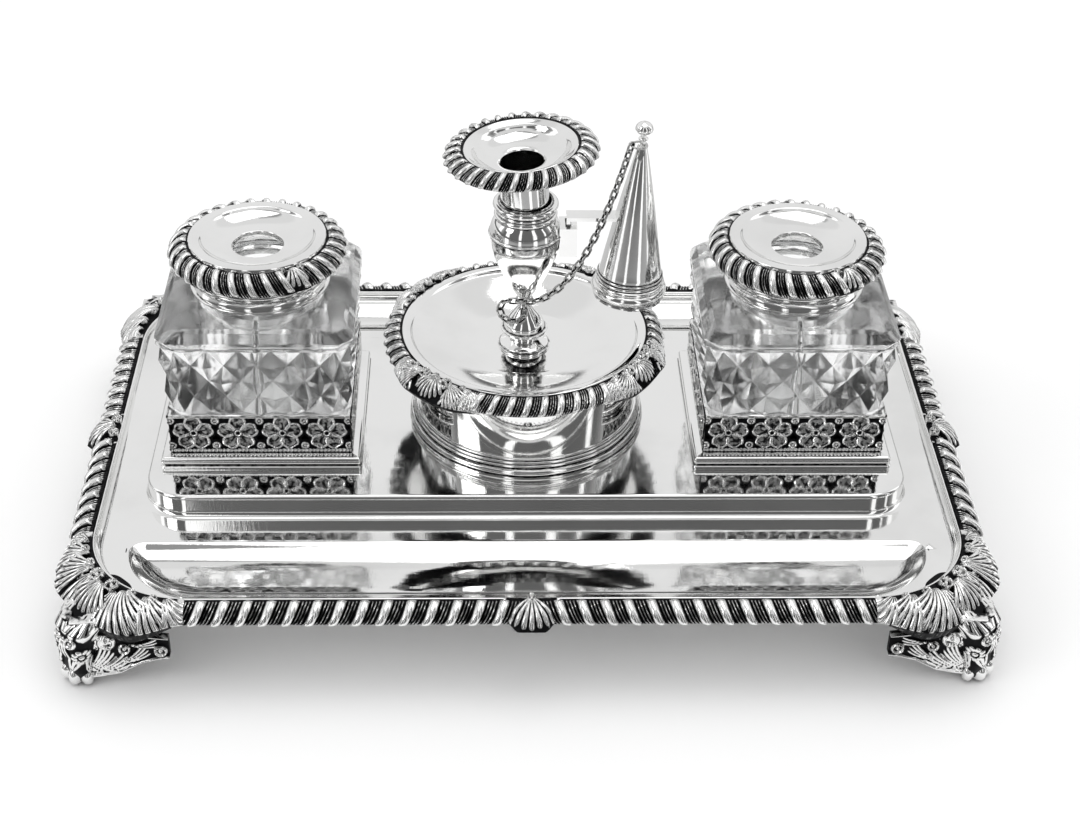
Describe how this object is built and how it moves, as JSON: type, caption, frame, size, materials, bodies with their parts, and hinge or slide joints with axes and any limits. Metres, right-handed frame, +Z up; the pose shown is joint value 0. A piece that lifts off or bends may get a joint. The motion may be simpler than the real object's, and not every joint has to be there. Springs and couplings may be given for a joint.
{
  "type": "desk inkstand",
  "caption": "Footed silver desk inkstand: pen troughs, lift-out cut glass inkwells, and a wafer drum lidded by a taper stick with removable nozzle and chained extinguisher.",
  "frame": {"origin": "on the table under the centre of the tray", "axes": "+X to the right along the tray, +Y to the back, +Z up"},
  "size_m": [0.2812, 0.189, 0.1369],
  "materials": {
    "plain_silver": "polished plain silver with fine hand wear",
    "cast_silver": "cast and chased silver, bright on the crests and blackened in the recesses",
    "chain_silver": "drawn silver wire, a little tarnished",
    "cut_glass": "clear cut glass with polished facets"
  },
  "bodies": {
    "tray": {"tray_body": "plain_silver", "border_front": "cast_silver", "border_back": "cast_silver", "border_left": "cast_silver", "border_right": "cast_silver", "shell_front": "cast_silver", "shell_back": "cast_silver", "shell_left": "cast_silver", "shell_right": "cast_silver", "corner_shell_front_right": "cast_silver", "corner_shell_front_left": "cast_silver", "corner_shell_back_right": "cast_silver", "corner_shell_back_left": "cast_silver", "foot_front_right": "cast_silver", "foot_front_left": "cast_silver", "foot_back_right": "cast_silver", "foot_back_left": "cast_silver", "gallery_base_left": "plain_silver", "gallery_base_right": "plain_silver", "gallery_band_left": "cast_silver", "gallery_band_right": "cast_silver", "drum_wall": "plain_silver", "drum_moulding": "plain_silver"},
    "inkwell_left": {"glass_well_left": "cut_glass", "neck_collar_left": "plain_silver"},
    "ink_top_left": {"ink_dish_left": "plain_silver", "dish_border_left": "cast_silver"},
    "inkwell_right": {"glass_well_right": "cut_glass", "neck_collar_right": "plain_silver"},
    "ink_top_right": {"ink_dish_right": "plain_silver", "dish_border_right": "cast_silver"},
    "taper_stick": {"pan": "plain_silver", "pan_border": "cast_silver", "pan_shells": "cast_silver", "pan_bezel": "plain_silver", "stem": "plain_silver", "urn": "plain_silver", "hook_bracket": "plain_silver", "chain": "chain_silver", "chain_neck_ring": "chain_silver"},
    "nozzle": {"nozzle_tube": "plain_silver", "nozzle_dish": "plain_silver", "nozzle_border": "cast_silver"},
    "extinguisher": {"cone": "plain_silver", "cone_foot": "plain_silver", "cone_finial": "plain_silver", "cone_hook": "plain_silver", "chain_eye": "chain_silver"}
  },
  "joints": [
    {"name": "inkwell_left_lift", "type": "slide", "parent": "tray", "child": "inkwell_left", "axis": [0, 0, 1], "range_m": [0, 0.025]},
    {"name": "ink_top_left_lift", "type": "slide", "parent": "inkwell_left", "child": "ink_top_left", "axis": [0, 0, 1], "range_m": [0, 0.015]},
    {"name": "inkwell_right_lift", "type": "slide", "parent": "tray", "child": "inkwell_right", "axis": [0, 0, 1], "range_m": [0, 0.025]},
    {"name": "ink_top_right_lift", "type": "slide", "parent": "inkwell_right", "child": "ink_top_right", "axis": [0, 0, 1], "range_m": [0, 0.015]},
    {"name": "taper_stick_lift", "type": "slide", "parent": "tray", "child": "taper_stick", "axis": [0, 0, 1], "range_m": [0, 0.03]},
    {"name": "nozzle_lift", "type": "slide", "parent": "taper_stick", "child": "nozzle", "axis": [-0.0785, 0, 0.9969], "range_m": [0, 0.018]},
    {"name": "extinguisher_lift", "type": "slide", "parent": "taper_stick", "child": "extinguisher", "axis": [0, 0, 1], "range_m": [0, 0.012], "deforming": ["chain"]}
  ]
}
